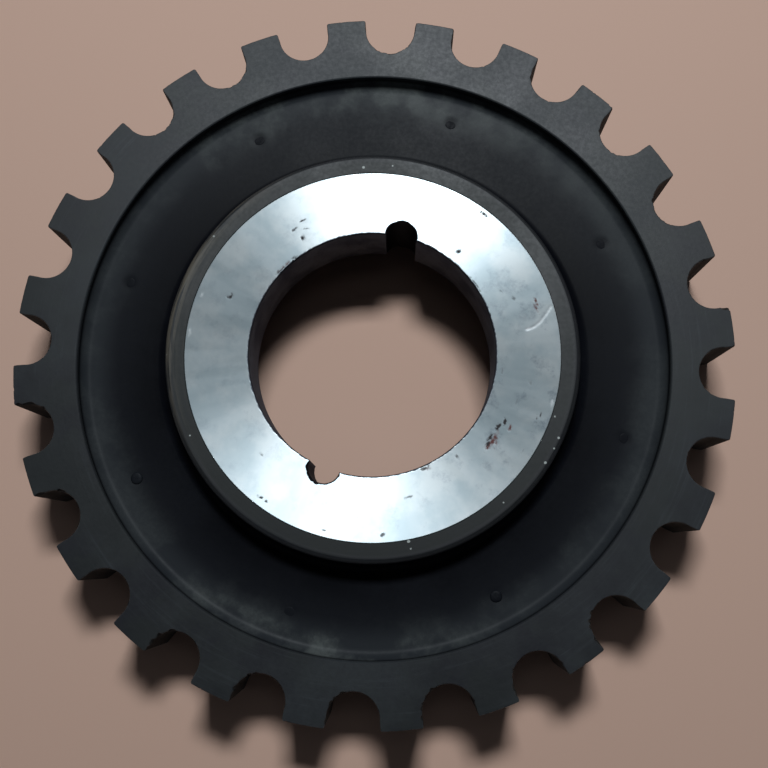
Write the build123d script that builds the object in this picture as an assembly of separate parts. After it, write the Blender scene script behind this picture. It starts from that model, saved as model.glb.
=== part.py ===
from build123d import *
import os
from math import cos, pi, radians, sin

os.makedirs("parts", exist_ok=True)

# Timing belt pulley in millimetres. The axis is Z, the back face of the rim is at z = 0, and the
# first key groove of the bore lies on +Y. Angles are clockwise from +Y, seen from the front (+Z).

# Toothed rim
belt_pitch = 20.0
tooth_count = 24
belt_line_offset = 2.16          # from the tooth tips out to the belt's pitch line
outer_radius = belt_pitch * tooth_count / (2 * pi) - belt_line_offset
rim_width = 20.0
gap_depth = 7.5
gap_bottom_radius = 5.25
gap_tip_half_width = 5.45
gap_tip_round = 0.4
first_gap_angle = 4.25           # from the first key groove to the nearest tooth gap
rim_inner_radius = 61.0
rim_back_inner_radius = 62.0
rim_edge_chamfer = 0.4

# Web: a shallow dish in front, a flat seat for the hub flange behind
web_step = 3.0                   # from the rim's front face down to the web's outer edge
web_dish = 0.6                   # how much further the dish drops towards the boss
web_back_height = 10.0
web_outer_fillet = 2.0
web_inner_fillet = 3.0

# Boss and hub
hub_front_height = 23.5
boss_radius = 42.15
boss_bevel = 0.8
sleeve_radius = 38.1
bore_radius = 25.0
bore_chamfer = 0.3
bore_relief = 5.0                # the wide lead-in at the back of the bore
hub_back_height = 4.0            # clear of the rivet tails, so that a shoulder can rest on it
hub_back_radius = 48.0
flange_radius = 59.0
flange_thickness = 4.5
flange_chamfer = 0.5
flange_back_height = web_back_height - flange_thickness

# Half-round key grooves, centred on the bore's wall
key_groove_radius = 3.2
key_groove_angles = (0.0, 188.6)

# Rivets that hold the web to the hub flange
rivet_count = 8
rivet_circle_radius = 54.5
rivet_radius = 1.3
rivet_head_rise = 0.35
rivet_head_round = 0.25
rivet_tail_radius = 2.4
rivet_tail_height = 1.2
rivet_tail_round = 0.9

overrun = 1.0                    # how far a cutting tool runs past the face it cuts


def at_angle(angle, radius, z=0.0):
    """A place on the given radius, turned so that its local Y points outwards."""
    x = radius * sin(radians(angle))
    y = radius * cos(radians(angle))
    return Location((x, y, z), (0, 0, -angle))


def revolved(points):
    """A solid of revolution about Z from its (radius, height) outline."""
    outline = Plane.XZ * Polyline(*points, close=True)
    return revolve(make_face(outline), Axis.Z)


def circle_edges(solid, radius, z):
    """The round edges of a solid at one radius and height."""
    def fits(edge):
        if edge.geom_type != GeomType.CIRCLE:
            return False
        return abs(edge.radius - radius) < 1e-3 and abs(edge.arc_center.Z - z) < 1e-3
    return solid.edges().filter_by(fits)


def wheel_blank():
    """Rim, web and boss in one piece, before the tooth gaps are cut."""
    web_front_outer = rim_width - web_step
    web_front_inner = web_front_outer - web_dish
    blank = revolved([
        (sleeve_radius, web_back_height),
        (rim_back_inner_radius, web_back_height),
        (rim_back_inner_radius, 0),
        (outer_radius, 0),
        (outer_radius, rim_width),
        (rim_inner_radius, rim_width),
        (rim_inner_radius, web_front_outer),
        (boss_radius, web_front_inner),
        (boss_radius, hub_front_height),
        (sleeve_radius, hub_front_height),
    ])
    blank = fillet(circle_edges(blank, rim_inner_radius, web_front_outer), web_outer_fillet)
    blank = fillet(circle_edges(blank, rim_back_inner_radius, web_back_height), web_outer_fillet)
    blank = fillet(circle_edges(blank, boss_radius, web_front_inner), web_inner_fillet)
    blank = chamfer(circle_edges(blank, boss_radius, hub_front_height), boss_bevel)
    blank = chamfer(circle_edges(blank, rim_inner_radius, rim_width), rim_edge_chamfer)
    rim_edges = circle_edges(blank, outer_radius, rim_width) + circle_edges(blank, outer_radius, 0)
    return chamfer(rim_edges, rim_edge_chamfer)


def tooth_gap():
    """The cutting tool for one gap: a round bottom, walls that flare a little, rounded tips."""
    arc_y = outer_radius - gap_depth + gap_bottom_radius
    past_y = outer_radius + overrun
    tip_x = gap_tip_half_width
    flare = (tip_x - gap_bottom_radius) / (outer_radius - arc_y)
    past_x = tip_x + flare * overrun
    wall_right = (gap_bottom_radius, arc_y)
    wall_left = (-gap_bottom_radius, arc_y)
    bottom = ThreePointArc(wall_left, (0, outer_radius - gap_depth), wall_right)
    sides = Polyline(wall_right, (past_x, past_y), (-past_x, past_y), wall_left)
    cut = extrude(make_face(bottom + sides), rim_width + 2 * overrun)
    return Pos(0, 0, -overrun) * cut


def is_tip_edge(edge):
    """Whether an upright edge is a corner of a tooth tip."""
    middle = edge.center()
    return abs(Vector(middle.X, middle.Y).length - outer_radius) < 0.01


def pulley_body():
    """The toothed wheel, with the holes for the rivets."""
    body = wheel_blank()
    gap = tooth_gap()
    gap_angle = 360 / tooth_count
    gaps = [Rot(0, 0, -(first_gap_angle + i * gap_angle)) * gap for i in range(tooth_count)]
    body = body - gaps
    tips = body.edges().filter_by(Axis.Z).filter_by(is_tip_edge)
    return fillet(tips, gap_tip_round) - rivet_holes()


def hub_sleeve():
    """The steel sleeve with its flange behind the web, its bore and its two key grooves."""
    hub = revolved([
        (bore_radius, hub_back_height),
        (hub_back_radius, hub_back_height),
        (hub_back_radius, flange_back_height),
        (flange_radius, flange_back_height),
        (flange_radius, web_back_height),
        (sleeve_radius, web_back_height),
        (sleeve_radius, hub_front_height),
        (bore_radius, hub_front_height),
    ])
    hub = chamfer(circle_edges(hub, bore_radius, hub_front_height), bore_chamfer)
    hub = chamfer(circle_edges(hub, bore_radius, hub_back_height), bore_relief)
    hub = chamfer(circle_edges(hub, hub_back_radius, hub_back_height), flange_chamfer)
    hub = chamfer(circle_edges(hub, flange_radius, flange_back_height), flange_chamfer)
    groove_length = hub_front_height - hub_back_height + 2 * overrun
    for angle in key_groove_angles:
        place = at_angle(angle, bore_radius, hub_back_height - overrun)
        hub -= place * extrude(Circle(key_groove_radius), groove_length)
    return hub - rivet_holes()


def rivet_angle(number):
    """The angle of a rivet, counted from 1. Each is in line with every third tooth gap."""
    return first_gap_angle + (number - 1) * 360 / rivet_count


def rivet_holes():
    """The eight holes through the web and the flange, as cutting tools."""
    hole = extrude(Circle(rivet_radius), rim_width + overrun)
    return [at_angle(rivet_angle(i + 1), rivet_circle_radius) * hole for i in range(rivet_count)]


def web_height(radius):
    """The height of the web's dished front at a radius."""
    slope = web_dish / (rim_inner_radius - boss_radius)
    return rim_width - web_step - slope * (rim_inner_radius - radius)


def rivet():
    """A flush rivet along Z: a low rounded head in front and a round tail behind the flange."""
    head_top = web_height(rivet_circle_radius) + rivet_head_rise
    tail_bottom = flange_back_height - rivet_tail_height
    pin = revolved([
        (0, tail_bottom),
        (rivet_tail_radius, tail_bottom),
        (rivet_tail_radius, flange_back_height),
        (rivet_radius, flange_back_height),
        (rivet_radius, head_top),
        (0, head_top),
    ])
    pin = fillet(circle_edges(pin, rivet_radius, head_top), rivet_head_round)
    return fillet(circle_edges(pin, rivet_tail_radius, tail_bottom), rivet_tail_round)


def save(name, solid):
    """Write one piece to its own file."""
    solid.label = name
    export_step(solid, f"parts/{name}.step")


save("pulley_body", pulley_body())
save("hub_sleeve", hub_sleeve())
for number in range(1, rivet_count + 1):
    save(f"rivet_{number}", at_angle(rivet_angle(number), rivet_circle_radius) * rivet())
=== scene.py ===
from collections import namedtuple
from math import asin, atan2, cos, degrees, exp, hypot, pi, radians, sin, sqrt
from random import Random

import bmesh
import bpy
from mathutils import Matrix, Vector, noise


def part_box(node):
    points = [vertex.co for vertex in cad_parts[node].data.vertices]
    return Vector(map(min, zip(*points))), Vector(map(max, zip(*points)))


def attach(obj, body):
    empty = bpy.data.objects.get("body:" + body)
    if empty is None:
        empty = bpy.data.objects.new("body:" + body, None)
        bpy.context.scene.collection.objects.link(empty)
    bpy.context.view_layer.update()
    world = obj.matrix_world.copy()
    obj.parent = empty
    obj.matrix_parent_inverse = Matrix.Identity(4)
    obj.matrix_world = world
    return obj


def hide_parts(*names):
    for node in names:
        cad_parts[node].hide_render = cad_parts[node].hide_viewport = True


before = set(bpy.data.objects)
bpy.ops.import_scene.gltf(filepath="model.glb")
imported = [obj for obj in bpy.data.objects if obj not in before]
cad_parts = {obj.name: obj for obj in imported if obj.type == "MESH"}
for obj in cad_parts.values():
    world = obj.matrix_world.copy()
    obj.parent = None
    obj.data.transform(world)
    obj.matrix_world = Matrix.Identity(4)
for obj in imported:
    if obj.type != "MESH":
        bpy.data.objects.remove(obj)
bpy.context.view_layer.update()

# Lengths are in millimetres until a mesh is made, and the axis of the pulley is Z. Angles are
# clockwise from +Y, seen from the front, as on the part: the first key groove is at 0.
MM = 0.001
body_low, body_high = [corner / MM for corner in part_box("pulley_body")]
hub_low, hub_high = [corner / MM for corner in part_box("hub_sleeve")]
rivet_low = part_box("rivet_1")[0] / MM

# Toothed rim
tip_radius = (body_high.x - body_low.x) / 2
rim_front = 20.0
rim_back = body_low.z
tooth_count = 24
pitch_angle = 360 / tooth_count
first_gap = 4.25
gap_depth = 7.5
gap_radius = 5.25
gap_half_width = 5.45
tip_round = 0.4
rim_inner = 61.0
rim_back_inner = 62.0

# Web and boss
web_outer_z = 17.0
web_inner_z = 16.4
web_back_z = 10.0
boss_radius = 42.15
boss_front = body_high.z

# Hub
sleeve_radius = 38.1
bore_radius = 25.0
hub_front = hub_high.z
hub_back = hub_low.z
hub_back_radius = 48.0
bore_relief = 5.0
flange_radius = (hub_high.x - hub_low.x) / 2
flange_back = 5.5
key_radius = 3.2
key_angles = (0.0, 188.6)

# How far the first key groove is turned from the top of the view
VIEW_TURN = 13.7

# Rivets
rivet_count = 8
rivet_circle = 54.5
rivet_radius = 1.3
rivet_tail_radius = 2.4
rivet_back = rivet_low.z
RivetHead = namedtuple("RivetHead", "rise dent dark")
# How proud each rivet's head stands, how much it is dented, and how dark the web is round it, by
# number from 1
rivet_heads = (
    RivetHead(-0.03, 0.006, 1.0), RivetHead(-0.03, 0.01, 0.8), RivetHead(-0.03, 0.01, 0.6),
    RivetHead(0.34, 0.05, 0.05), RivetHead(-0.03, 0.006, 0.2), RivetHead(0.34, 0.04, 0.15),
    RivetHead(-0.03, 0.01, 0.7), RivetHead(-0.03, 0.006, 0.9),
)

# The order of the materials: face, web and wall on the body, and face and bore on the hub
FACE_FINISH = 0
WEB_FINISH = 1
WALL_FINISH = 2
BORE_FINISH = 1


# ---------------------------------------------------------------- geometry helpers

def polar(angle, radius):
    """The (x, y) of a clockwise angle in degrees and a radius."""
    return radius * sin(radians(angle)), radius * cos(radians(angle))


def fbm(x, y, z):
    """Soft repeatable noise from about -1 to 1."""
    fineness, lacunarity, octaves = 1.0, 2.0, 4
    return noise.fractal(Vector((x, y, z)), fineness, lacunarity, octaves)


SHARP_ANGLE = 35


class Shell:
    """Rings of points round Z, each joined to the ring before it. Each face has a finish, which is
    the number of its material, and each point may have amounts of dirt or wear painted on it."""

    def __init__(self, *paints):
        self.points = []
        self.faces = []
        self.finishes = []
        self.finish = 0
        self.paints = {name: [] for name in paints}
        self.last = None
        self.first = None

    def ring(self, points, sectors=None, **amounts):
        """Adds a ring and joins it to the one before."""
        start = len(self.points)
        count = len(points)
        self.points.extend(points)
        for name, values in self.paints.items():
            values.extend(amounts.get(name, [0.0] * count))
        if self.last is None:
            self.first = (start, count)
        else:
            self.join(self.last, (start, count), sectors)
        self.last = (start, count)

    def join(self, one, two, sectors=None):
        """Faces between two rings, in order round the profile: one face to each sector, which is as many
        as the smaller ring has points unless it is given."""
        a, m = one
        b, n = two
        sectors = sectors or min(m, n)
        j, k = m // sectors, n // sectors
        for i in range(sectors):
            near = [a + (i * j + step) % m for step in range(j + 1)]
            far = [b + (i * k + step) % n for step in range(k + 1)]
            self.faces.append(near + far[::-1])
            self.finishes.append(self.finish)

    def close(self):
        """Joins the last ring to the first."""
        self.join(self.last, self.first)

    def mesh(self, name):
        """The mesh in metres, smooth but for its sharp edges."""
        data = bpy.data.meshes.new(name)
        data.from_pydata([[c * MM for c in p] for p in self.points], [], self.faces)
        work = bmesh.new()
        work.from_mesh(data)
        bmesh.ops.recalc_face_normals(work, faces=work.faces)
        work.to_mesh(data)
        work.free()
        data.polygons.foreach_set("use_smooth", [True] * len(data.polygons))
        data.set_sharp_from_angle(angle=radians(SHARP_ANGLE))
        for paint, values in self.paints.items():
            data.attributes.new(paint, "FLOAT", "POINT").data.foreach_set("value", values)
        return data


def add_piece(name, shell, node, slot, *materials):
    """Puts a piece in the scene on the one body, in place of its CAD node."""
    data = shell.mesh(name)
    for material in materials:
        data.materials.append(material)
    data.polygons.foreach_set("material_index", shell.finishes)
    piece = bpy.data.objects.new(name, data)
    bpy.context.scene.collection.objects.link(piece)
    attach(piece, "root")
    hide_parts(node)
    even_normals(piece)


def even_normals(piece):
    """Shades flat faces flat right up to their bevels."""
    modifier = piece.modifiers.new("even_normals", "WEIGHTED_NORMAL")
    modifier.keep_sharp = True
    modifier.weight = 80


def arc_steps(centre, radius, start, end, count):
    """Points on an arc in the (radius, height) plane, angles in degrees from the outward direction."""
    return [
        (centre[0] + radius * cos(radians(start + (end - start) * i / count)),
         centre[1] + radius * sin(radians(start + (end - start) * i / count)))
        for i in range(count + 1)
    ]


# ---------------------------------------------------------------- toothed outline

GAP_STEPS, WALL_STEPS, TIP_STEPS, LAND_STEPS = 60, 8, 4, 36
INNER_POINTS = 30 * tooth_count       # on each of the plain circles
DEEPEST_CHIP = 1.1
FULL_BITE = 0.08                      # how deep a bite is where it is bare all through
POINT_SPACING = 0.2                   # about how far apart an outline's points are
BEVEL_RINGS = (1, 2)                  # which of an edge's rings lie on its bevel


def gap_half_outline():
    """One side of a gap, from its bottom to the middle of the next tooth's tip. Local X is across
    the gap and Y points outwards."""
    centre_y = tip_radius - gap_depth + gap_radius
    points = []
    for i in range(GAP_STEPS // 2 + 1):
        turn = (pi / 2) * i / (GAP_STEPS / 2)
        points.append((gap_radius * sin(turn), centre_y - gap_radius * cos(turn)))
    round_x = gap_half_width + tip_round
    wall_end = (gap_half_width, sqrt(tip_radius ** 2 - round_x ** 2) - tip_round)
    for i in range(1, WALL_STEPS + 1):
        t = i / WALL_STEPS
        points.append((gap_radius + (wall_end[0] - gap_radius) * t,
                       centre_y + (wall_end[1] - centre_y) * t))
    for i in range(1, TIP_STEPS + 1):
        turn = (pi / 2) * i / TIP_STEPS
        points.append((round_x - tip_round * cos(turn), wall_end[1] + tip_round * sin(turn)))
    start = asin(points[-1][0] / tip_radius)
    points[-1] = (tip_radius * sin(start), tip_radius * cos(start))
    end = radians(pitch_angle / 2)
    for i in range(1, LAND_STEPS // 2 + 1):
        turn = start + (end - start) * i / (LAND_STEPS / 2)
        points.append((tip_radius * sin(turn), tip_radius * cos(turn)))
    return points


def toothed_outline():
    """The whole outline clockwise, from the middle of the tooth before the first gap."""
    half = gap_half_outline()
    pitch = [(-x, y) for x, y in half[:0:-1]] + half[:-1]
    outline = []
    for gap in range(tooth_count):
        turn = radians(first_gap + gap * pitch_angle)
        for x, y in pitch:
            outline.append((x * cos(turn) + y * sin(turn), y * cos(turn) - x * sin(turn)))
    return outline


def outward_normals(outline):
    """A unit direction at each point of a clockwise outline, pointing away from the metal. It turns
    gradually round a corner, over a few points each way, so that a deep bite there doesn't fold."""
    spread = 5
    normals = []
    count = len(outline)
    for i in range(count):
        ax, ay = outline[i - spread]
        bx, by = outline[(i + spread) % count]
        length = hypot(bx - ax, by - ay)
        normals.append((-(by - ay) / length, (bx - ax) / length))
    return normals


def inset(outline, normals, amounts):
    """The outline moved into the metal by an amount at each point."""
    return [
        (x - nx * a, y - ny * a)
        for (x, y), (nx, ny), a in zip(outline, normals, amounts)
    ]


def edge_wear(outline, seed, base):
    """How far a worn edge is cut back at each point: a fine wavering bevel."""
    return [base * max(0.4, 1 + 0.5 * fbm(x * 0.9, y * 0.9, seed)) for x, y in outline]


class Chip:
    """A small sphere that bites into an edge. Depth is how far it goes past the edge's own corner."""

    def __init__(self, outline, normals, index, radius, depth, steepness, edge_z, up):
        x, y = outline[index]
        nx, ny = normals[index]
        away = radius - depth
        self.index = index
        self.radius = radius
        self.x = x + nx * away * cos(radians(steepness))
        self.y = y + ny * away * cos(radians(steepness))
        self.z = edge_z + up * away * sin(radians(steepness))

    def bite(self, outline, normals, amounts, z):
        """Deepens the inset of the points whose way into the metal leads through the sphere."""
        squared = self.radius ** 2 - (z - self.z) ** 2
        if squared <= 0:
            return
        window = int(self.radius / POINT_SPACING) + 4
        count = len(outline)
        for step in range(-window, window + 1):
            i = (self.index + step) % count
            dx, dy = outline[i][0] - self.x, outline[i][1] - self.y
            along = -(dx * normals[i][0] + dy * normals[i][1])
            inside = along ** 2 - dx ** 2 - dy ** 2 + squared
            if inside > 0:
                amounts[i] = max(amounts[i], min(inside ** 0.5 - along, DEEPEST_CHIP))


def random_chips(outline, normals, seed, count, largest, edge_z, up):
    """Chips at random along an edge, many small ones and a few large, some of them in clusters."""
    rng = Random(seed)
    chips = []
    for _ in range(count):
        index = rng.randrange(len(outline))
        size = largest * rng.uniform(0.3, 1.0) ** 2
        for _ in range(rng.choice((1, 1, 2, 3))):
            near = (index + rng.randint(-6, 6)) % len(outline)
            radius = size * rng.uniform(0.9, 1.8)
            depth = size * rng.uniform(0.4, 0.9)
            steepness = rng.uniform(15, 75)
            chips.append(Chip(outline, normals, near, radius, depth, steepness, edge_z, up))
    return chips


def edge_rings(outline, normals, wear, chips, edge_z, up, depths=(0.45, 0.75, 1.1, 1.6, 2.4)):
    """Rings (points, height, bitten) from the flat face over a worn bevel and down into the wall. A
    point is bitten, up to 1, where a chip has taken metal from it."""
    bevel = sum(wear) / len(wear)
    steps = [(1.0, 0.0), (0.3, 0.3 * bevel), (0.0, bevel)] + [(0.0, depth) for depth in depths]
    rings = []
    for share, depth in steps:
        height = edge_z - up * depth
        even = [w * share for w in wear]
        amounts = list(even)
        for chip in chips:
            chip.bite(outline, normals, amounts, height)
        bitten = [min(1.0, (a - e) / FULL_BITE) for a, e in zip(amounts, even)]
        rings.append((inset(outline, normals, amounts), height, bitten))
    return rings


# ---------------------------------------------------------------- toothed body

def circle_ring(radius, z):
    """A ring of evenly spaced points, in step with the toothed outline."""
    start = first_gap - pitch_angle / 2
    return [(*polar(start + 360 * i / INNER_POINTS, radius), z) for i in range(INNER_POINTS)]


ROUGH_WALLS = (8, 9, 10, 11, 12, 13, 15, 16)     # gaps whose clockwise walls have ragged edges
ROUGH_BOTTOMS = (3, 20, 21, 23)                  # gaps whose bottoms have ragged edges


def wall_index(gap, up_the_wall):
    """The place in the outline of a gap's clockwise wall: 0 at its foot and 1 at the tooth's tip."""
    steps = GAP_STEPS + 2 * WALL_STEPS + 2 * TIP_STEPS + LAND_STEPS
    return gap * steps + steps // 2 + GAP_STEPS // 4 + round(up_the_wall * (GAP_STEPS // 4 + WALL_STEPS))


def placed_chips(outline, normals):
    """The ragged clockwise walls of some gaps, the ragged bottoms of others, and one tooth with a
    dented corner."""
    rng = Random(59)
    chips = []

    def along(gap, start, end, count, largest):
        for _ in range(count):
            index = wall_index(gap, rng.uniform(start, end))
            size = largest * rng.uniform(0.4, 1.0)
            steepness = rng.uniform(20, 60)
            chips.append(Chip(outline, normals, index, 1.2 * size, size, steepness, rim_front, 1))

    for gap in ROUGH_WALLS:
        along(gap, -0.3, 1.0, 9, 0.5)
    for gap in ROUGH_BOTTOMS:
        along(gap, -1.1, 0.1, 11, 0.42)
    along(4, 0.75, 1.15, 4, 0.6)
    return chips


def body_shell():
    """The toothed wheel: one closed skin of rings, from the boss out over the rim and back behind."""
    outline = toothed_outline()
    normals = outward_normals(outline)
    front_chips = random_chips(outline, normals, 31, 260, 0.34, rim_front, 1)
    front_chips += placed_chips(outline, normals)
    back_chips = random_chips(outline, normals, 37, 120, 0.5, rim_back, -1)
    front_wear = edge_wear(outline, 11, 0.2)
    back_wear = edge_wear(outline, 23, 0.2)
    front = edge_rings(outline, normals, front_wear, front_chips, rim_front, 1)
    back = edge_rings(outline, normals, back_wear, back_chips, rim_back, -1, (0.6, 1.3))
    shell = Shell("worn", "grime")

    def circles(profile):
        for radius, z in profile:
            shell.ring(circle_ring(radius, z))

    shell.finish = FACE_FINISH
    circles([(sleeve_radius, boss_front - 0.15), (sleeve_radius + 0.12, boss_front)])
    circles([(sleeve_radius + i, boss_front) for i in (1.0, 2.0, 2.8)])
    circles(boss_edge())
    shell.finish = WEB_FINISH
    for radius, z in web_profile():
        points = [(x, y, z - rivet_dimple(x, y)) for x, y, _ in circle_ring(radius, z)]
        shell.ring(points, grime=[rivet_grime(x, y) for x, y, _ in points])
    shell.finish = FACE_FINISH
    circles([(rim_inner, rim_front - 0.25), (rim_inner + 0.08, rim_front - 0.08)])
    circles([(rim_inner + 0.25 + i, rim_front) for i in (0.0, 0.15, 1.0, 2.2)])
    for number, (points, z, bitten) in enumerate(front):
        ring = [(x, y, z) for x, y in points]
        if number == 0:
            shell.ring(ring, tooth_count)
        elif number in BEVEL_RINGS:
            shell.ring(ring, worn=[1.0] * len(ring))
        else:
            shell.finish = WALL_FINISH
            shell.ring(ring, worn=bitten)
    shell.ring([(x, y, (rim_front + rim_back) / 2) for x, y in outline])
    for points, z, bitten in reversed(back):
        shell.ring([(x, y, z) for x, y in points], worn=bitten)
    shell.finish = FACE_FINISH
    shell.ring(circle_ring(rim_back_inner + 1.5, rim_back), tooth_count)
    circles([(rim_back_inner + 0.3, rim_back)])
    circles([(rim_back_inner, rim_back + 0.3), (rim_back_inner, rim_back + 1.0)])
    shell.finish = WEB_FINISH
    fillet = 2.0
    circles([(rim_back_inner, web_back_z - fillet - 0.6)])
    circles(arc_steps((rim_back_inner - fillet, web_back_z - fillet), fillet, 0, 90, 6))
    circles([(flange_radius - 0.5, web_back_z), (sleeve_radius, web_back_z)])
    shell.close()
    return shell


def boss_edge():
    """The boss's worn outer bevel, down to the foot of its wall."""
    bevel = 0.8
    return [
        (boss_radius - bevel - 0.15, boss_front),
        (boss_radius - bevel, boss_front - 0.03),
        (boss_radius - bevel * 0.45, boss_front - bevel * 0.4),
        (boss_radius - 0.05, boss_front - bevel),
        (boss_radius, boss_front - bevel - 0.15),
        (boss_radius, web_inner_z + 3.4),
    ]


def web_z(radius):
    """The height of the web at a radius: nearly flat, and curving up towards the rim."""
    share = (radius - boss_radius) / (rim_inner - boss_radius)
    return web_inner_z + (web_outer_z - web_inner_z) * share ** 2.5


def web_profile():
    """The web's dish, from the fillet round the boss out to the step up to the rim's face, with more
    rings where the rivets are."""
    inner_fillet, outer_fillet = 3.0, 2.2
    foot = arc_steps((boss_radius + inner_fillet, web_inner_z + inner_fillet), inner_fillet,
                     180, 270, 8)
    near_rivets = [rivet_circle - 2.1 + 0.35 * i for i in range(13)]
    radii = [46.5, 48.0, 49.5, 51.0, 51.9] + near_rivets + [57.2, 58.0, 58.6]
    rise = arc_steps((rim_inner - outer_fillet, web_z(rim_inner - outer_fillet) + outer_fillet),
                     outer_fillet, -84, 0, 9)
    return foot + [(radius, web_z(radius)) for radius in radii] + rise


def rivet_angle(number):
    """The angle of a rivet, counted from 1."""
    return first_gap + (number - 1) * 360 / rivet_count


def nearest_rivet(x, y):
    """The number of the rivet whose angle is nearest, counted from 1."""
    return round((degrees(atan2(x, y)) - first_gap) * rivet_count / 360) % rivet_count + 1


RIVET_REACH = 3.0                # past this distance the web shows no sign of a rivet
DIMPLE_DEPTH = 0.06
DIMPLE_RADIUS = 1.5


def from_rivet(x, y):
    """The distance to the nearest rivet, for places near the circle of rivets."""
    if abs(hypot(x, y) - rivet_circle) > RIVET_REACH:
        return RIVET_REACH
    cx, cy = polar(rivet_angle(nearest_rivet(x, y)), rivet_circle)
    return hypot(x - cx, y - cy)


def rivet_dimple(x, y):
    """How far the web is drawn down round each rivet."""
    return DIMPLE_DEPTH * exp(-(from_rivet(x, y) / DIMPLE_RADIUS) ** 4)


def rivet_grime(x, y):
    """How dark the web is round each rivet."""
    away = from_rivet(x, y) * (1 + 0.12 * fbm(x * 0.8, y * 0.8, 4.0))
    return rivet_heads[nearest_rivet(x, y) - 1].dark * exp(-(away / DIMPLE_RADIUS) ** 5)


# ---------------------------------------------------------------- hub

HUB_STEPS = 1024
KEY_STEPS = 64
EVEN_RADIUS = 29.2               # from here out, the rings of the face are plain circles


def bore_outline():
    """The bore with its two key grooves, clockwise from the middle of the first groove."""
    half = 2 * asin(key_radius / 2 / bore_radius)
    arcs = key_angles[1] / 360
    first_run = round((HUB_STEPS - 2 * KEY_STEPS) * arcs)
    runs = (first_run, HUB_STEPS - 2 * KEY_STEPS - first_run)
    outline = []
    for index, angle in enumerate(key_angles):
        centre = radians(angle)
        cx, cy = polar(angle, bore_radius)
        swing = pi / 2 + half / 2
        for i in range(KEY_STEPS):
            turn = centre - swing + 2 * swing * i / KEY_STEPS
            outline.append((cx + key_radius * sin(turn), cy + key_radius * cos(turn)))
        start = centre + half
        end = radians(key_angles[1 - index] + 360 * index) - half
        for i in range(runs[index]):
            turn = start + (end - start) * i / runs[index]
            outline.append((bore_radius * sin(turn), bore_radius * cos(turn)))
    shift = KEY_STEPS // 2
    return outline[shift:] + outline[:shift]


def blended_ring(outline, radius, share, z):
    """A ring partway from the bore's outline to a full circle. A point keeps most of its own angle,
    so that the rings come gradually to even steps."""
    kept = 0.7
    count = len(outline)
    ring = []
    for i, (x, y) in enumerate(outline):
        even = 2 * pi * i / count
        own = atan2(x, y)
        while own < even - pi:
            own += 2 * pi
        turn = even + (own - even) * kept
        fx, fy = radius * sin(turn), radius * cos(turn)
        ring.append((x + (fx - x) * share, y + (fy - y) * share, z))
    return ring


def relief_ring(outline, z):
    """A ring of the bore where the cone of the lead-in has opened it out to its own radius."""
    cone = bore_radius + bore_relief + hub_back - z
    ring = []
    for x, y in outline:
        stretch = max(1.0, cone / hypot(x, y))
        ring.append((x * stretch, y * stretch, z))
    return ring


def hub_shell():
    """The steel sleeve with its flange: bore, face, outside, flange and back."""
    outline = bore_outline()
    normals = [(-nx, -ny) for nx, ny in outward_normals(outline)]
    count = len(outline)
    front_chips = random_chips(outline, normals, 41, 16, 0.16, hub_front, 1)
    front_chips += bore_nicks(outline, normals)
    front = edge_rings(outline, normals, edge_wear(outline, 5, 0.28), front_chips, hub_front, 1)
    shell = Shell("pit", "rust", "bright")
    shell.finish = BORE_FINISH
    for height in (0.0, 1.0, 1.8, 2.6, 3.4, 4.2, 5.0, 5.2, 11.0):
        shell.ring(relief_ring(outline, hub_back + height))
    for number, (points, z, bitten) in reversed(list(enumerate(front))):
        # The bevel rings get the pit paint all round as painted shade; the other rings get their nicks.
        pit = [1.0] * count if number in BEVEL_RINGS else bitten
        shell.ring([(x, y, z) for x, y in points], pit=pit)
    shell.finish = FACE_FINISH
    face_edge = front[0][0]
    for share in (0.05, 0.12, 0.2, 0.3, 0.42, 0.57, 0.72, 0.87, 1.0):
        add_face_ring(shell, blended_ring(face_edge, EVEN_RADIUS, share, hub_front))
    rings = 36
    for i in range(1, rings + 1):
        radius = EVEN_RADIUS + (sleeve_radius - 0.12 - EVEN_RADIUS) * i / rings
        add_face_ring(shell, full_ring(radius, hub_front, count))
    # A painted highlight along part of the face's outer edge.
    painted_edge_glint = [0.8 * max(0.0, cos(2 * pi * i / count - radians(EDGE_GLINT_ANGLE))) ** 8 for i in range(count)]
    shell.ring(full_ring(sleeve_radius - 0.04, hub_front - 0.06, count), bright=painted_edge_glint)
    shell.ring(full_ring(sleeve_radius, hub_front - 0.15, count), bright=painted_edge_glint)
    shell.finish = BORE_FINISH
    shell.ring(full_ring(sleeve_radius, web_back_z, count))
    for radius, z in ((flange_radius - 0.3, web_back_z), (flange_radius, web_back_z - 0.3),
                      (flange_radius, flange_back + 0.5), (flange_radius - 0.5, flange_back),
                      (hub_back_radius + 0.3, flange_back), (hub_back_radius, flange_back - 0.3),
                      (hub_back_radius, hub_back + 0.5), (hub_back_radius - 0.5, hub_back),
                      (bore_radius + bore_relief + 2.0, hub_back)):
        shell.ring(full_ring(radius, z, count))
    shell.close()
    return shell


def add_face_ring(shell, points):
    """A ring of the bright face, with its pits, rust and scratches."""
    marked = [face_marks(x, y) for x, y, _ in points]
    lowered = [(x, y, z - depth) for (x, y, z), (depth, _) in zip(points, marked)]
    paints = {paint: [amounts[paint] for _, amounts in marked] for paint in shell.paints}
    shell.ring(lowered, **paints)


def full_ring(radius, z, count):
    """A ring of evenly spaced points that starts at the first key groove."""
    return [(*polar(360 * i / count, radius), z) for i in range(count)]


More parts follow.
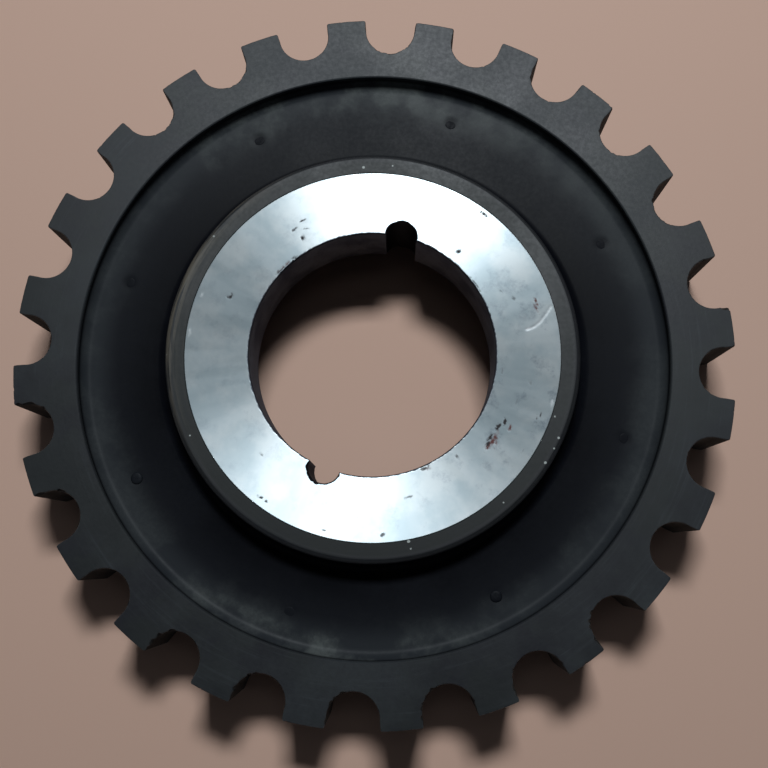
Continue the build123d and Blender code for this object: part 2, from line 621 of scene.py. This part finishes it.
# Marks on the bright face: angle, radius, half length round the face, half width, tilt in degrees,
# strength, and what they are.
FACE_MARKS = (
    (24.5, 37.1, 1.1, 0.22, 4, 0.8, "pit"), (26.5, 27.6, 0.5, 0.42, 0, 0.8, "pit"),
    (50.2, 29.0, 0.9, 0.3, 0, 0.35, "pit"), (55.2, 30.9, 0.6, 0.35, 0, 0.4, "pit"),
    (58.8, 34.95, 1.0, 0.3, 0, 0.8, "rust"), (61.2, 34.6, 1.3, 0.3, -12, 0.9, "rust"),
    (87.5, 32.3, 0.6, 0.45, 0, 0.35, "pit"), (85.0, 26.5, 1.3, 0.25, 5, 0.4, "pit"),
    (96.9, 36.0, 0.8, 0.2, -10, 0.9, "pit"), (98.9, 35.6, 1.3, 0.14, -14, 0.6, "pit"),
    (96.0, 30.6, 1.0, 0.15, 0, 0.3, "pit"), (110.2, 36.0, 1.2, 0.2, 8, 0.3, "pit"),
    (105.4, 31.5, 0.9, 0.35, -10, 0.8, "rust"), (104.6, 30.1, 0.9, 0.4, -20, 1.0, "pit"),
    (106.8, 29.4, 1.0, 0.35, 0, 1.0, "pit"), (109.2, 29.8, 0.6, 0.3, 0, 0.8, "rust"),
    (112.6, 30.2, 1.6, 0.8, -8, 1.0, "rust"), (115.6, 29.8, 1.2, 0.5, 0, 1.0, "rust"),
    (113.0, 29.3, 1.3, 0.3, -6, 0.9, "pit"), (115.3, 29.6, 0.8, 0.25, 0, 0.9, "pit"),
    (142.4, 25.6, 1.0, 0.25, 0, 0.6, "pit"), (127.2, 27.0, 1.0, 0.12, 20, 0.5, "pit"),
    (152.5, 30.0, 0.9, 0.25, 0, 0.4, "pit"), (163.0, 36.5, 0.45, 0.35, 0, 0.45, "pit"),
    (181.0, 36.8, 0.6, 0.2, 0, 0.35, "pit"), (201.3, 36.5, 0.5, 0.25, 0, 0.7, "pit"),
    (203.3, 36.45, 0.7, 0.3, 0, 0.8, "pit"), (213.0, 30.2, 0.5, 0.3, 0, 0.25, "pit"),
    (278.6, 31.2, 0.8, 0.42, 0, 0.85, "pit"), (278.0, 31.6, 0.3, 0.7, 25, 0.6, "pit"),
    (314.9, 30.6, 0.85, 0.25, -4, 0.9, "pit"), (318.9, 31.4, 0.75, 0.22, 0, 0.8, "pit"),
    (315.5, 27.9, 0.85, 0.4, 15, 1.0, "pit"), (318.6, 29.5, 0.9, 0.13, 25, 0.4, "pit"),
    (263.5, 37.4, 1.0, 0.3, 0, 0.6, "bright"), (275.5, 36.9, 0.7, 0.35, 0, 0.5, "bright"),
    (92.0, 37.5, 1.2, 0.3, 0, 0.5, "bright"), (67.6, 32.0, 0.5, 0.4, 60, 1.0, "bright"),
    (303.0, 25.5, 2.0, 0.4, 0, 0.7, "rust"), (298.5, 25.4, 1.4, 0.3, 0, 0.6, "pit"),
    (307.0, 25.6, 1.0, 0.35, 0, 0.6, "pit"), (141.0, 25.9, 0.9, 0.3, 25, 0.5, "rust"),
    (43.0, 25.4, 2.4, 0.2, 0, 0.5, "pit"),
)
EDGE_GLINT_ANGLE = 58.0                # where a painted highlight lies along the face's outer edge
PIT_DEPTH = 0.012
SCRATCH_DEPTH = 0.02


def scratch_line():
    """The long curved scratch, as points along it."""
    steps = 40
    start_angle, turned = 61.8, 6.0
    start_radius, inwards = 37.5, 5.9
    return [
        polar(start_angle + turned * sin(pi / 2 * i / steps), start_radius - inwards * i / steps)
        for i in range(steps + 1)
    ]


SCRATCH = scratch_line()


def mark_strength(x, y, angle, radius, length, width, tilt, strength):
    """How strongly a mark shows at a place, with a ragged edge."""
    cx, cy = polar(angle, radius)
    dx, dy = x - cx, y - cy
    if abs(dx) > 2 * length + width or abs(dy) > 2 * length + width:
        return 0.0
    turn = radians(angle + tilt)
    along = dx * cos(turn) - dy * sin(turn)
    across = dx * sin(turn) + dy * cos(turn)
    reach = hypot(along / length, across / width) + 0.7 * fbm(x * 1.7, y * 1.7, radius)
    return strength * min(1.0, max(0.0, 1.5 - 1.5 * reach))


def scratch_strength(x, y):
    """How strongly the long scratch shows at a place."""
    margin, half_width = 1.5, 0.3
    (ax, ay), (bx, by) = SCRATCH[0], SCRATCH[-1]
    if not min(ax, bx) - margin < x < max(ax, bx) + margin:
        return 0.0
    if not min(ay, by) - margin < y < max(ay, by) + margin:
        return 0.0
    away = min(hypot(x - px, y - py) for px, py in SCRATCH)
    return max(0.0, 1 - away / half_width) * (0.75 + 0.4 * fbm(x, y, 3.0))


def face_marks(x, y):
    """How deep a place on the face is worn away, and its pitting, rust and brightness."""
    scratch = scratch_strength(x, y)
    amounts = {"pit": 0.0, "rust": 0.0, "bright": scratch}
    for *shape, kind in FACE_MARKS:
        amounts[kind] = max(amounts[kind], mark_strength(x, y, *shape))
    depth = SCRATCH_DEPTH * scratch + PIT_DEPTH * max(amounts["pit"], amounts["rust"])
    return depth, amounts


def bore_nicks(outline, normals):
    """Nicks along the bore's front edge, thickest where the edge has been knocked about: from angle,
    to angle, how many, and the largest."""
    rng = Random(67)
    nicks = []
    runs = ((37, 53, 12, 0.17), (139, 143, 4, 0.2), (188, 197, 16, 0.45), (258, 296, 10, 0.12),
            (297, 310, 18, 0.24), (350, 357, 3, 0.15))
    turns = [degrees(atan2(x, y)) % 360 for x, y in outline]
    for start, end, count, largest in runs:
        for _ in range(count):
            wanted = rng.uniform(start, end)
            index = min(range(len(turns)), key=lambda i: abs(turns[i] - wanted))
            size = largest * rng.uniform(0.4, 1.0)
            radius = size * rng.uniform(1.3, 2.4)
            steepness = rng.uniform(30, 75)
            nicks.append(Chip(outline, normals, index, radius, size, steepness, hub_front, 1))
    return nicks


# ---------------------------------------------------------------- rivets

RIVET_STEPS = 48


def rivet_shell(number):
    """A rivet that fills its hole: a dented head in front, filed flat where it hardly stands proud,
    and a round tail behind."""
    head = rivet_heads[number - 1]
    cx, cy = polar(rivet_angle(number), rivet_circle)
    top = web_z(rivet_circle) + head.rise
    roundness = min(1.0, max(0.12, 3 * head.rise))
    cap_radius = 0.12
    tail_round = 0.9
    shell = Shell("grime")
    drops = [(cap_radius, 0.0), (0.4, 0.0), (0.7, -0.015), (0.95, -0.05), (1.12, -0.12), (1.22, -0.24),
             (1.25, -0.45)]
    profile = [(radius, top + drop * roundness) for radius, drop in drops]
    profile += [(rivet_radius, web_back_z + 1.0), (rivet_radius, flange_back)]
    tail_centre = (rivet_tail_radius - tail_round, rivet_back + tail_round)
    profile += [(rivet_tail_radius, flange_back)] + arc_steps(tail_centre, tail_round, 0, -90, 6)
    profile += [(0.8, rivet_back), (cap_radius, rivet_back)]
    for radius, z in profile:
        ring = []
        for i in range(RIVET_STEPS):
            dx, dy = polar(360 * i / RIVET_STEPS, radius)
            in_head = min(1.0, max(0.0, (z - top + 0.5) * 4))
            wobble = 1 + 0.05 * in_head * fbm(dx, dy, number)
            drop = head.dent * in_head * (1 + fbm(dx * 1.3, dy * 1.3, number * 3.0))
            ring.append((cx + dx * wobble, cy + dy * wobble, z - drop))
        shell.ring(ring, grime=[head.dark] * RIVET_STEPS)
    shell.faces.append(list(range(RIVET_STEPS)))
    shell.faces.append(list(range(shell.last[0], shell.last[0] + RIVET_STEPS)))
    shell.finishes += [0, 0]
    return shell


# ---------------------------------------------------------------- materials

# North, south, east and west are roughly the top, bottom, right and left of the view.

def new_material(name):
    """A material with its Principled shader and a helper for its nodes."""
    material = bpy.data.materials.new(name)
    material.use_nodes = True
    return material, NodeMaker(material.node_tree)


class NodeMaker:
    """Short calls for the few kinds of shader node that the materials need."""

    def __init__(self, tree):
        self.tree = tree
        self.shader = tree.nodes.get("Principled BSDF")

    def add(self, kind, **settings):
        node = self.tree.nodes.new("ShaderNode" + kind)
        for key, value in settings.items():
            setattr(node, key, value)
        return node

    def plug(self, source, target):
        if isinstance(source, (int, float, tuple, list)):
            target.default_value = source
        else:
            self.tree.links.new(source, target)

    def maths(self, operation, a, b, clamp=False):
        node = self.add("Math", operation=operation, use_clamp=clamp)
        self.plug(a, node.inputs[0])
        self.plug(b, node.inputs[1])
        return node.outputs[0]

    def vector(self, operation, a, b=(0, 0, 0)):
        """The outputs of a vector operation, by name: Vector or Value."""
        node = self.add("VectorMath", operation=operation)
        self.plug(a, node.inputs[0])
        self.plug(b, node.inputs[1])
        return node.outputs

    def painted(self, name):
        """An amount painted on the mesh's points."""
        return self.add("Attribute", attribute_name=name).outputs["Fac"]

    def noise(self, vector, scale, detail, roughness, dimensions="3D"):
        node = self.add("TexNoise", noise_dimensions=dimensions)
        self.plug(vector, node.inputs["W" if dimensions == "1D" else "Vector"])
        node.inputs["Scale"].default_value = scale
        node.inputs["Detail"].default_value = detail
        node.inputs["Roughness"].default_value = roughness
        return node.outputs[0]

    def ramp(self, value, low, high, start=0.0, end=1.0):
        """Goes smoothly from start to end as the value goes from low to high."""
        node = self.add("MapRange", interpolation_type="SMOOTHSTEP")
        self.plug(value, node.inputs["Value"])
        node.inputs["From Min"].default_value = low
        node.inputs["From Max"].default_value = high
        node.inputs["To Min"].default_value = start
        node.inputs["To Max"].default_value = end
        return node.outputs[0]

    def mix(self, share, a, b):
        node = self.add("Mix", data_type="RGBA")
        self.plug(share, node.inputs[0])
        self.plug(a, node.inputs[6])
        self.plug(b, node.inputs[7])
        return node.outputs[2]

    def place(self):
        """Object coordinates in millimetres."""
        coords = self.add("TexCoord").outputs["Object"]
        return self.vector("MULTIPLY", coords, (1 / MM, 1 / MM, 1 / MM))["Vector"]

    def height(self, place):
        """The height above the back face of the rim."""
        split = self.add("SeparateXYZ")
        self.plug(place, split.inputs[0])
        return split.outputs["Z"]

    def radius(self, place):
        """The distance from the axis."""
        level = self.vector("MULTIPLY", place, (1, 1, 0))["Vector"]
        return self.vector("LENGTH", level)["Value"]

    def outward(self, place):
        """The direction away from the axis."""
        level = self.vector("MULTIPLY", place, (1, 1, 0))["Vector"]
        return self.vector("NORMALIZE", level)["Vector"]

    def stretched(self, outward, radius, around, along):
        """Coordinates for a pattern that is repeated by turns round the axis and by millimetres along
        the radius."""
        turned = self.vector("MULTIPLY", outward, (around, around, around))["Vector"]
        lifted = self.add("CombineXYZ")
        self.plug(self.maths("MULTIPLY", radius, along), lifted.inputs["Z"])
        return self.vector("ADD", turned, lifted.outputs[0])["Vector"]

    def near(self, vector, centre, radius):
        """1 at a place, falling to 0 at a distance from it."""
        away = self.vector("DISTANCE", vector, centre)["Value"]
        return self.ramp(away, 0.0, radius, 1.0, 0.0)

    def bump(self, height, distance, strength, normal=None):
        node = self.add("Bump")
        node.inputs["Strength"].default_value = strength
        node.inputs["Distance"].default_value = distance
        self.plug(height, node.inputs["Height"])
        if normal is not None:
            self.plug(normal, node.inputs["Normal"])
        return node.outputs[0]


# Bright specks on the boss: angle, radius and size.
BOSS_SPECKS = (
    (87.3, 41.9, 0.4), (96.0, 38.8, 0.35), (101.4, 41.0, 0.4), (109.3, 41.0, 0.45),
    (104.6, 41.1, 0.3), (125.6, 39.8, 0.3), (155.2, 39.9, 0.4), (155.4, 38.4, 0.5), (168.4, 41.8, 0.4),
    (203.0, 42.0, 0.3), (231.6, 40.1, 0.3), (252.0, 41.8, 0.4), (256.0, 41.9, 0.5), (262.0, 42.0, 0.5),
    (285.6, 41.9, 0.35), (293.2, 41.0, 0.45), (331.0, 42.0, 0.35), (343.6, 39.4, 0.5),
    (352.4, 39.9, 0.3),
)


def iron_noises(n, place):
    """The soft clouds and the fine grit that vary the black finishes."""
    return n.noise(place, 0.045, 5.0, 0.6), n.noise(place, 1.1, 5.0, 0.7)


def iron_colour(n, cloud, grit, plain, dusty, amount):
    """Dull black with soft smudges and a little dust."""
    share = n.maths("MULTIPLY", n.ramp(cloud, 0.4, 0.72), n.ramp(grit, 0.2, 0.75, 0.4, 1.0))
    return n.mix(n.maths("MULTIPLY", share, amount), plain, dusty)


def with_grime(n, colour):
    """A colour, nearly black where grime is painted."""
    return n.mix(n.maths("MULTIPLY", n.painted("grime"), 0.9), colour, (0.002, 0.0025, 0.005, 1))


def iron_face():
    """The turned black faces of the rim and the boss, with scuffs, bright specks and worn edges."""
    material, n = new_material("blackened_iron_turned")
    place = n.place()
    radius = n.radius(place)
    outward = n.outward(place)
    cloud, grit = iron_noises(n, place)
    tint = n.ramp(n.noise(place, 0.075, 4.0, 0.6), 0.40, 0.60)
    plain = n.mix(tint, (0.0052, 0.0062, 0.0100, 1), (0.0080, 0.0105, 0.0115, 1))
    colour = iron_colour(n, cloud, grit, plain, (0.022, 0.027, 0.030, 1), 0.9)
    streaks = n.noise(n.stretched(outward, radius, 3.0, 1.6), 1.0, 4.0, 0.65)
    rubbed = n.maths("MULTIPLY", n.ramp(streaks, 0.54, 0.70), n.ramp(cloud, 0.4, 0.6, 0.15, 0.55))
    colour = n.mix(rubbed, colour, (0.030, 0.036, 0.042, 1))
    boss = n.ramp(radius, 42.0, 43.0, 1.0, 0.0)
    outer = n.maths("MULTIPLY", n.ramp(radius, 40.3, 40.9), n.ramp(streaks, 0.35, 0.6, 0.4, 1.0))
    shade = n.mix(outer, (0.0045, 0.0066, 0.0056, 1), (0.013, 0.0135, 0.016, 1))
    colour = n.mix(n.maths("MULTIPLY", boss, n.ramp(cloud, 0.35, 0.65, 0.6, 0.9)), colour, shade)
    west = n.maths("MULTIPLY", n.near(outward, (*polar(274, 1.0), 0.0), 1.05), boss)
    band = n.maths("MULTIPLY", n.ramp(radius, 39.4, 41.3, 0.1, 1.0), n.ramp(streaks, 0.40, 0.58))
    colour = n.mix(n.maths("MULTIPLY", west, band), colour, (0.095, 0.082, 0.062, 1))
    edge = n.maths("MULTIPLY", n.painted("worn"), n.ramp(grit, 0.35, 0.65, 0.1, 0.6))
    colour = n.mix(edge, colour, (0.045, 0.048, 0.050, 1))
    specks = 0.0
    for angle, speck_radius, size in BOSS_SPECKS:
        speck = n.near(place, (*polar(angle, speck_radius), boss_front), size)
        specks = n.maths("MAXIMUM", specks, speck)
    ragged = n.ramp(n.maths("MULTIPLY", specks, n.ramp(grit, 0.3, 0.7, 0.4, 1.3)), 0.2, 0.5)
    colour = n.mix(ragged, colour, (0.42, 0.45, 0.43, 1))
    n.plug(colour, n.shader.inputs["Base Color"])
    n.shader.inputs["Specular IOR Level"].default_value = 0.45
    rough = n.maths("ADD", n.ramp(cloud, 0.3, 0.7, 0.47, 0.56), n.ramp(grit, 0.3, 0.7, -0.03, 0.04))
    lip = n.maths("MULTIPLY", n.ramp(radius, rim_inner + 0.15, rim_inner + 0.5, 0.35, 0.0),
                  n.ramp(radius, 50.0, 51.0))
    rough = n.maths("ADD", rough, lip)
    n.plug(rough, n.shader.inputs["Roughness"])
    lines = n.noise(radius, 3.5, 4.0, 0.7, "1D")
    normal = n.bump(lines, 0.000015, 0.35)
    n.plug(n.bump(grit, 0.00003, 0.4, normal), n.shader.inputs["Normal"])
    return material


def iron_web():
    """The smoother, deeper black of the web, lighter towards the rim and dusty in patches there, the
    patches heavier at the top of the view as a painted sheen, with painted shade on the step up to the
    rim.
    """
    material, n = new_material("blackened_iron_web")
    place = n.place()
    radius = n.radius(place)
    outward = n.outward(place)
    cloud, grit = iron_noises(n, place)
    plain, dusty = (0.0028, 0.0031, 0.0048, 1), (0.007, 0.008, 0.011, 1)
    colour = iron_colour(n, cloud, grit, plain, dusty, 0.8)
    colour = n.mix(n.ramp(radius, 45.0, 55.0), colour, (0.0085, 0.0095, 0.0125, 1))
    colour = n.mix(n.ramp(radius, 53.0, 58.5), colour, (0.024, 0.027, 0.031, 1))
    patches = n.noise(place, 0.08, 5.0, 0.6)
    # Painted sheen: the dust patches are made heavier at the top of the view, on the side of the lamp.
    lamp_side_sheen = n.near(outward, (*polar(-VIEW_TURN, 1.0), 0.0), 1.1)
    dust_and_sheen = n.maths("MULTIPLY", n.ramp(radius, 51.0, 57.5), n.ramp(patches, 0.40, 0.62))
    dust_and_sheen = n.maths("MULTIPLY", dust_and_sheen, n.ramp(grit, 0.3, 0.7, 0.5, 1.0))
    south = n.near(outward, (*polar(190 - VIEW_TURN, 1.0), 0.0), 0.8)
    dust_and_sheen_places = n.maths("MAXIMUM", lamp_side_sheen, n.maths("MULTIPLY", south, n.ramp(radius, 55.5, 58.0)))
    dust_and_sheen = n.maths("MULTIPLY", dust_and_sheen, n.maths("ADD", dust_and_sheen_places, 0.25))
    colour = n.mix(dust_and_sheen, colour, (0.078, 0.086, 0.084, 1))
    # Painted shade on the step up to the rim's face.
    step_shade = n.ramp(n.height(place), web_outer_z + 0.9, web_outer_z + 1.9)
    colour = n.mix(step_shade, colour, (0.004, 0.0045, 0.006, 1))
    n.plug(with_grime(n, colour), n.shader.inputs["Base Color"])
    n.shader.inputs["Specular IOR Level"].default_value = 0.06
    rough = n.maths("ADD", n.ramp(cloud, 0.3, 0.7, 0.37, 0.44), n.ramp(grit, 0.3, 0.7, -0.02, 0.03))
    n.plug(rough, n.shader.inputs["Roughness"])
    streaks = n.noise(n.stretched(outward, radius, 4.0, 0.8), 1.0, 3.0, 0.6)
    normal = n.bump(streaks, 0.00003, 0.3)
    n.plug(n.bump(grit, 0.00003, 0.3, normal), n.shader.inputs["Normal"])
    return material


def iron_walls():
    """The black walls of the tooth gaps and the tips, a little brown in patches."""
    material, n = new_material("blackened_iron_walls")
    cloud, grit = iron_noises(n, n.place())
    plain, dusty = (0.007, 0.0065, 0.006, 1), (0.022, 0.018, 0.013, 1)
    colour = iron_colour(n, cloud, grit, plain, dusty, 1.0)
    worn = n.maths("MULTIPLY", n.painted("worn"), n.ramp(grit, 0.4, 0.7, 0.0, 0.5))
    colour = n.mix(worn, colour, (0.030, 0.028, 0.026, 1))
    n.plug(colour, n.shader.inputs["Base Color"])
    n.shader.inputs["Specular IOR Level"].default_value = 0.35
    n.plug(n.ramp(grit, 0.3, 0.7, 0.78, 0.92), n.shader.inputs["Roughness"])
    n.plug(n.bump(grit, 0.00005, 0.5), n.shader.inputs["Normal"])
    return material


def rivet_finish():
    """The rivets' plain black, gritty, and darker where their grime is painted."""
    material, n = new_material("blackened_rivet")
    cloud, grit = iron_noises(n, n.place())
    plain, dusty = (0.008, 0.009, 0.012, 1), (0.018, 0.020, 0.024, 1)
    colour = iron_colour(n, cloud, grit, plain, dusty, 1.0)
    n.plug(with_grime(n, colour), n.shader.inputs["Base Color"])
    n.shader.inputs["Specular IOR Level"].default_value = 0.06
    n.plug(n.ramp(grit, 0.3, 0.7, 0.42, 0.56), n.shader.inputs["Roughness"])
    n.plug(n.bump(grit, 0.00004, 0.5), n.shader.inputs["Normal"])
    return material


def turned_steel():
    """Bright finely turned steel, with its highlights drawn out across the turning lines."""
    material, n = new_material("turned_steel")
    place = n.place()
    radius = n.radius(place)
    outward = n.outward(place)
    lines = n.noise(radius, 9.0, 6.0, 0.75, "1D")
    cloud = n.noise(place, 0.09, 4.0, 0.6)
    grit = n.noise(place, 1.6, 5.0, 0.7)
    rays = n.noise(n.stretched(outward, radius, 9.0, 0.05), 1.0, 3.0, 0.5)
    colour = n.mix(n.ramp(cloud, 0.38, 0.62), (0.46, 0.54, 0.57, 1), (0.60, 0.65, 0.66, 1))
    colour = n.mix(n.ramp(rays, 0.35, 0.75, 0.0, 0.3), colour, (0.68, 0.73, 0.75, 1))
    patches = n.noise(place, 0.22, 5.0, 0.65)
    smudge = n.maths("MULTIPLY", n.ramp(patches, 0.5, 0.66), n.ramp(grit, 0.36, 0.62, 0.3, 1.0))
    east = n.near(outward, (*polar(90, 1.0), 0.0), 1.3)
    smudge = n.maths("MULTIPLY", smudge, n.maths("ADD", n.maths("MULTIPLY", east, 0.45), 0.25))
    colour = n.mix(smudge, colour, (0.26, 0.31, 0.36, 1))
    colour = n.mix(n.painted("bright"), colour, (0.93, 0.95, 0.96, 1))
    rust = n.maths("MULTIPLY", n.painted("rust"), n.ramp(grit, 0.3, 0.55, 0.5, 1.3), clamp=True)
    colour = n.mix(rust, colour, (0.15, 0.060, 0.055, 1))
    pit = n.maths("MULTIPLY", n.painted("pit"), n.ramp(grit, 0.25, 0.5, 0.8, 1.5), clamp=True)
    colour = n.mix(pit, colour, (0.040, 0.036, 0.038, 1))
    n.plug(colour, n.shader.inputs["Base Color"])
    dirt = n.maths("MAXIMUM", rust, pit)
    n.plug(n.ramp(dirt, 0.05, 0.6, 1.0, 0.0), n.shader.inputs["Metallic"])
    n.shader.inputs["Specular IOR Level"].default_value = 0.3
    n.shader.inputs["Anisotropic"].default_value = 0.86
    n.shader.inputs["Anisotropic Rotation"].default_value = 0.25
    tangent = n.add("Tangent", direction_type="RADIAL", axis="Z")
    n.plug(tangent.outputs[0], n.shader.inputs["Tangent"])
    rough = n.maths("ADD", n.ramp(lines, 0.3, 0.7, 0.39, 0.43), n.ramp(rays, 0.3, 0.7, -0.015, 0.02))
    rough = n.maths("ADD", rough, n.maths("MULTIPLY", n.painted("bright"), 0.2))
    n.plug(n.maths("ADD", rough, n.maths("MULTIPLY", dirt, 0.4)), n.shader.inputs["Roughness"])
    n.plug(n.bump(lines, 0.000003, 0.3), n.shader.inputs["Normal"])
    return material


def bored_steel():
    """The duller, stained steel of the bore, the key grooves and the back of the hub, kept dark partly
    as painted shade, since the bore stands in shadow.
    """
    material, n = new_material("bored_steel")
    place = n.place()
    radius = n.radius(place)
    height = n.height(place)
    lines = n.noise(height, 4.0, 5.0, 0.7, "1D")
    stain = n.noise(place, 0.18, 5.0, 0.65)
    grit = n.noise(place, 1.3, 5.0, 0.7)
    colour = n.mix(n.ramp(stain, 0.35, 0.65), (0.065, 0.070, 0.088, 1), (0.130, 0.142, 0.165, 1))
    colour = n.mix(n.ramp(grit, 0.5, 0.75, 0.0, 0.6), colour, (0.040, 0.028, 0.024, 1))
    # Nearly black in the key grooves: partly dark residue and partly painted shade.
    in_groove = n.ramp(radius, bore_radius + 0.35, bore_radius + 0.9)
    in_groove = n.maths("MULTIPLY", in_groove, n.ramp(radius, bore_radius + 4.0, bore_radius + 3.6))
    in_groove = n.maths("MULTIPLY", in_groove, n.ramp(height, hub_back + 0.5, hub_back + 1.0))
    colour = n.mix(n.maths("MULTIPLY", in_groove, 0.9), colour, (0.018, 0.016, 0.015, 1))
    # Dark at pits and nicks, and all round the front bevel as painted shade.
    pit = n.maths("MULTIPLY", n.painted("pit"), 0.85)
    colour = n.mix(pit, colour, (0.02, 0.018, 0.02, 1))
    n.plug(colour, n.shader.inputs["Base Color"])
    n.shader.inputs["Metallic"].default_value = 0.8
    n.shader.inputs["Specular Tint"].default_value = (0.30, 0.34, 0.42, 1)
    n.plug(n.ramp(stain, 0.3, 0.7, 0.48, 0.60), n.shader.inputs["Roughness"])
    normal = n.bump(lines, 0.00001, 0.5)
    n.plug(n.bump(grit, 0.00003, 0.5, normal), n.shader.inputs["Normal"])
    return material


def pale_floor():
    """A plain pale floor."""
    material, n = new_material("pale_floor")
    n.shader.inputs["Base Color"].default_value = (0.67, 0.435, 0.335, 1)
    n.shader.inputs["Roughness"].default_value = 0.75
    return material


# ---------------------------------------------------------------- pieces

def make_pieces():
    """The body, the hub and the rivets, each in place of its CAD node."""
    add_piece("pulley_body_skin", body_shell(), "pulley_body", "blackened_iron",
              iron_face(), iron_web(), iron_walls())
    add_piece("hub_sleeve_skin", hub_shell(), "hub_sleeve", "turned_steel",
              turned_steel(), bored_steel())
    finish = rivet_finish()
    for number in range(1, rivet_count + 1):
        node = f"rivet_{number}"
        add_piece(f"{node}_skin", rivet_shell(number), node, "blackened_rivet", finish)


# ---------------------------------------------------------------- room, light and camera

def in_view(x, y, z):
    """A place given as right, up and towards the viewer in units of the tip radius, from the middle of
    the rim's front face, as a place in the part's frame."""
    turned = Matrix.Rotation(radians(VIEW_TURN), 3, "Z") @ Vector((x, y, z))
    return (turned * tip_radius + Vector((0, 0, rim_front))) * MM


def make_floor(material):
    """A level floor that the back of the rim lies on."""
    size = 60 * tip_radius * MM
    bpy.ops.mesh.primitive_plane_add(size=size, location=(0, 0, rim_back * MM))
    floor = bpy.context.object
    floor.name = "floor"
    floor.data.materials.append(material)


def aim(thing, place, target):
    """Puts a camera or a light in place, looking at the target with the view's up."""
    back = (place - target).normalized()
    up = Matrix.Rotation(radians(VIEW_TURN), 3, "Z") @ Vector((0, 1, 0))
    right = up.cross(back).normalized()
    up = back.cross(right)
    thing.matrix_world = Matrix.Translation(place) @ Matrix((right, up, back)).transposed().to_4x4()


def make_camera():
    """A camera above the face, tilted and leaning a little, as the view is."""
    data = bpy.data.cameras.new("camera")
    data.sensor_width = 36.0
    data.lens = 48.75
    data.clip_start = 0.01
    camera = bpy.data.objects.new("camera", data)
    bpy.context.scene.collection.objects.link(camera)
    tilt, lean, distance = 0.1654, 0.0176, 2.8651
    target = Vector((0.0318, -0.0787, 0.0))
    back = Vector((sin(lean), -sin(tilt) * cos(lean), cos(tilt) * cos(lean)))
    aim(camera, in_view(*(target + back * distance)), in_view(*target))
    bpy.context.scene.camera = camera


def area_light(name, place, size, radiance, colour):
    """A rectangular lamp with its size across and up the view, and the radiance of its surface."""
    data = bpy.data.lights.new(name, "AREA")
    data.shape = "RECTANGLE"
    data.size, data.size_y = [side * tip_radius * MM for side in size]
    data.energy = radiance * pi * data.size * data.size_y
    data.color = colour
    light = bpy.data.objects.new(name, data)
    bpy.context.scene.collection.objects.link(light)
    aim(light, in_view(*place), in_view(0, 0, 0))


def make_light():
    """A lamp high over the top of the view, a faint one nearer the middle, and a sky that is much
    brighter at the horizon."""
    area_light("key", (0.36, 4.2, 8.0), (2.3, 1.4), 56.0, (0.88, 0.95, 1.0))
    area_light("ceiling", (0.2, 1.1, 7.0), (3.0, 1.0), 0.4, (0.85, 0.94, 1.0))
    world = bpy.data.worlds.new("world")
    world.use_nodes = True
    n = NodeMaker(world.node_tree)
    split = n.add("SeparateXYZ")
    n.plug(n.add("TexCoord").outputs["Generated"], split.inputs[0])
    background = world.node_tree.nodes["Background"]
    background.inputs[0].default_value = (0.82, 0.89, 1.0, 1)
    n.plug(n.ramp(split.outputs[2], 0.0, 0.4, 0.6, 0.010), background.inputs[1])
    bpy.context.scene.world = world
    bpy.context.scene.view_settings.view_transform = "Standard"


make_pieces()
make_floor(pale_floor())
make_camera()
make_light()
